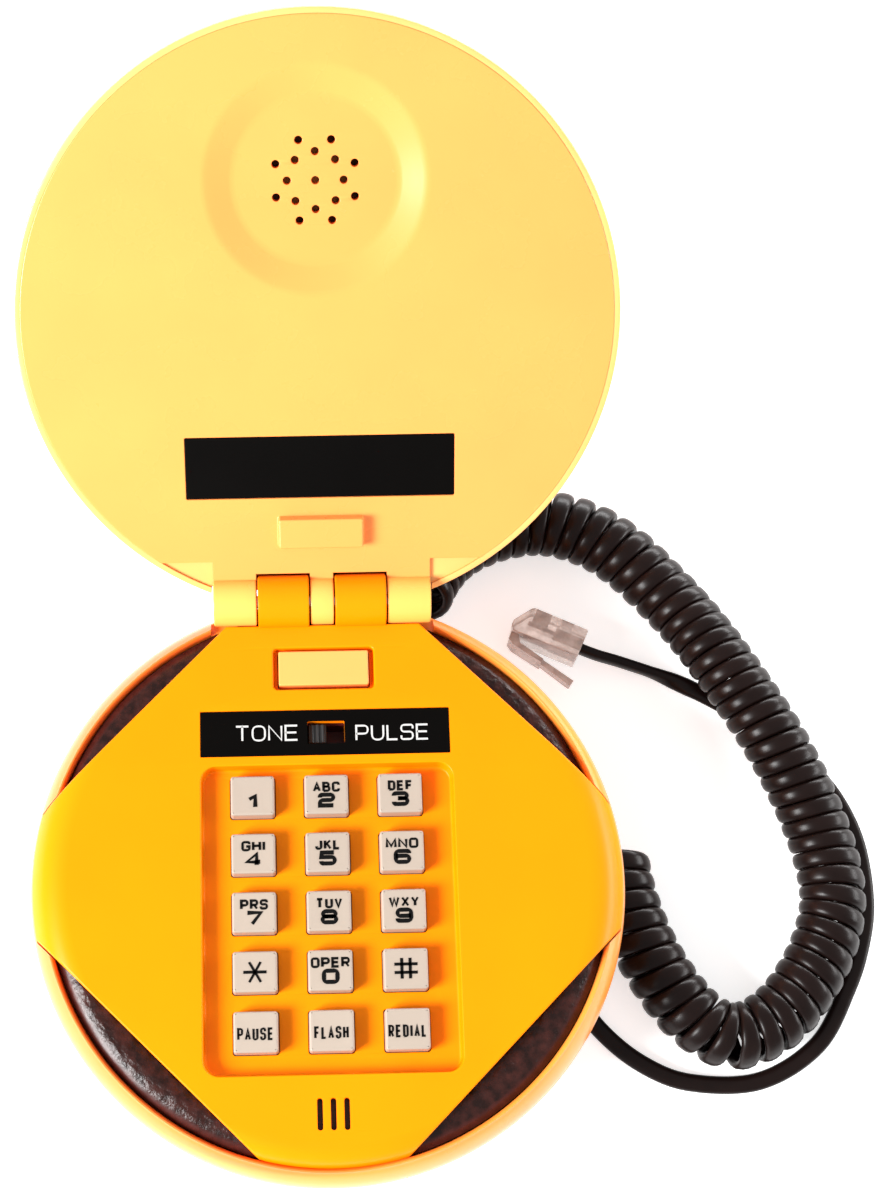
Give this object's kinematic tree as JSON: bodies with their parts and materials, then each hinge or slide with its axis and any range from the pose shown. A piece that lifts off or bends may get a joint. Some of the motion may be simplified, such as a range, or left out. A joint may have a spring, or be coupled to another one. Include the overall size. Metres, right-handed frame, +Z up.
{
  "type": "novelty shaped telephone",
  "caption": "Clamshell desk telephone shaped like a filled bun, with a keypad in the base, a receiver in the hinged lid and a coiled cord with a modular plug.",
  "frame": {"origin": "centre of the lower bun's underside, on the table, where the foot pad rests", "axes": "+Z up, +Y from the microphone end towards the hinge, +X to the user's right; the lid is stored open, as on a table in use"},
  "size_m": [0.1785, 0.2233, 0.1044],
  "materials": {
    "bun_plastic": "peach moulded plastic, satin gloss",
    "seed_plastic": "cream seeds",
    "patty_plastic": "dark brown, finely pitted",
    "panel_plastic": "bright yellow, smooth",
    "lid_plastic": "pale yellow, smooth",
    "black_plate": "black, bare",
    "switch_plastic": "dark red switch body",
    "black_plastic": "black",
    "hook_plastic": "cream",
    "key_plastic": "pale cream keys",
    "mat_rubber": "grey silicone mat",
    "board": "green board",
    "steel": "plated steel",
    "can_metal": "thin metal",
    "capsule_plastic": "beige capsule",
    "foot_rubber": "non-slip pad",
    "cord_vinyl": "very dark brown vinyl",
    "clear_plastic": "clear polycarbonate",
    "contact_metal": "gold plated"
  },
  "bodies": {
    "base": {"bottom_bun": "bun_plastic", "foot_pad": "foot_rubber", "patty": "patty_plastic", "front_panel": "panel_plastic", "switch_plate": "black_plate", "mode_switch": "switch_plastic", "hook_spring": "steel", "hook_switch": "black_plastic", "keypad_mat": "mat_rubber", "main_board": "board", "board_screws": "steel", "microphone": "can_metal", "ringer": "black_plastic", "ballast_weight": "steel", "case_screws": "steel", "hinge_pin": "steel", "cord_grommet": "cord_vinyl", "cord_lead": "cord_vinyl", "coiled_cord": "cord_vinyl", "line_cord": "cord_vinyl", "plug_body": "clear_plastic", "plug_contacts": "contact_metal"},
    "lid": {"bun_top": "bun_plastic", "sesame_seeds": "seed_plastic", "lid_plate": "lid_plastic", "lid_nameplate": "black_plate", "receiver_capsule": "capsule_plastic", "receiver_clamp": "can_metal"},
    "hook_button": {"hook_button": "hook_plastic"},
    "mode_slider": {"mode_slider": "black_plastic"},
    "key_1": {"key_1": "key_plastic"},
    "key_2": {"key_2": "key_plastic"},
    "key_3": {"key_3": "key_plastic"},
    "key_4": {"key_4": "key_plastic"},
    "key_5": {"key_5": "key_plastic"},
    "key_6": {"key_6": "key_plastic"},
    "key_7": {"key_7": "key_plastic"},
    "key_8": {"key_8": "key_plastic"},
    "key_9": {"key_9": "key_plastic"},
    "key_star": {"key_star": "key_plastic"},
    "key_0": {"key_0": "key_plastic"},
    "key_hash": {"key_hash": "key_plastic"},
    "key_left": {"key_left": "key_plastic"},
    "key_middle": {"key_middle": "key_plastic"},
    "key_right": {"key_right": "key_plastic"}
  },
  "joints": [
    {"name": "lid_hinge", "type": "hinge", "parent": "base", "child": "lid", "pos_m": [0, 0.0578, 0.0366], "axis": [1, 0, 0], "range_deg": [0, 145]},
    {"name": "hook_press", "type": "slide", "parent": "base", "child": "hook_button", "axis": [0, 0, -1], "range_m": [0, 0.0025], "stiffness_N_per_m": 120, "springref_m": -0.002, "deforming": ["hook_spring"]},
    {"name": "mode_slide", "type": "slide", "parent": "base", "child": "mode_slider", "axis": [1, 0, 0], "range_m": [0, 0.0034]},
    {"name": "key_1_press", "type": "slide", "parent": "base", "child": "key_1", "axis": [0, 0, -1], "range_m": [0, 0.0013], "stiffness_N_per_m": 300, "springref_m": -0.001},
    {"name": "key_2_press", "type": "slide", "parent": "base", "child": "key_2", "axis": [0, 0, -1], "range_m": [0, 0.0013], "stiffness_N_per_m": 300, "springref_m": -0.001},
    {"name": "key_3_press", "type": "slide", "parent": "base", "child": "key_3", "axis": [0, 0, -1], "range_m": [0, 0.0013], "stiffness_N_per_m": 300, "springref_m": -0.001},
    {"name": "key_4_press", "type": "slide", "parent": "base", "child": "key_4", "axis": [0, 0, -1], "range_m": [0, 0.0013], "stiffness_N_per_m": 300, "springref_m": -0.001},
    {"name": "key_5_press", "type": "slide", "parent": "base", "child": "key_5", "axis": [0, 0, -1], "range_m": [0, 0.0013], "stiffness_N_per_m": 300, "springref_m": -0.001},
    {"name": "key_6_press", "type": "slide", "parent": "base", "child": "key_6", "axis": [0, 0, -1], "range_m": [0, 0.0013], "stiffness_N_per_m": 300, "springref_m": -0.001},
    {"name": "key_7_press", "type": "slide", "parent": "base", "child": "key_7", "axis": [0, 0, -1], "range_m": [0, 0.0013], "stiffness_N_per_m": 300, "springref_m": -0.001},
    {"name": "key_8_press", "type": "slide", "parent": "base", "child": "key_8", "axis": [0, 0, -1], "range_m": [0, 0.0013], "stiffness_N_per_m": 300, "springref_m": -0.001},
    {"name": "key_9_press", "type": "slide", "parent": "base", "child": "key_9", "axis": [0, 0, -1], "range_m": [0, 0.0013], "stiffness_N_per_m": 300, "springref_m": -0.001},
    {"name": "key_star_press", "type": "slide", "parent": "base", "child": "key_star", "axis": [0, 0, -1], "range_m": [0, 0.0013], "stiffness_N_per_m": 300, "springref_m": -0.001},
    {"name": "key_0_press", "type": "slide", "parent": "base", "child": "key_0", "axis": [0, 0, -1], "range_m": [0, 0.0013], "stiffness_N_per_m": 300, "springref_m": -0.001},
    {"name": "key_hash_press", "type": "slide", "parent": "base", "child": "key_hash", "axis": [0, 0, -1], "range_m": [0, 0.0013], "stiffness_N_per_m": 300, "springref_m": -0.001},
    {"name": "key_left_press", "type": "slide", "parent": "base", "child": "key_left", "axis": [0, 0, -1], "range_m": [0, 0.0013], "stiffness_N_per_m": 300, "springref_m": -0.001},
    {"name": "key_middle_press", "type": "slide", "parent": "base", "child": "key_middle", "axis": [0, 0, -1], "range_m": [0, 0.0013], "stiffness_N_per_m": 300, "springref_m": -0.001},
    {"name": "key_right_press", "type": "slide", "parent": "base", "child": "key_right", "axis": [0, 0, -1], "range_m": [0, 0.0013], "stiffness_N_per_m": 300, "springref_m": -0.001}
  ],
  "couplings": [
    {"joint": "hook_press", "follows": "lid_hinge", "m_per_rad": 0.000987}
  ]
}
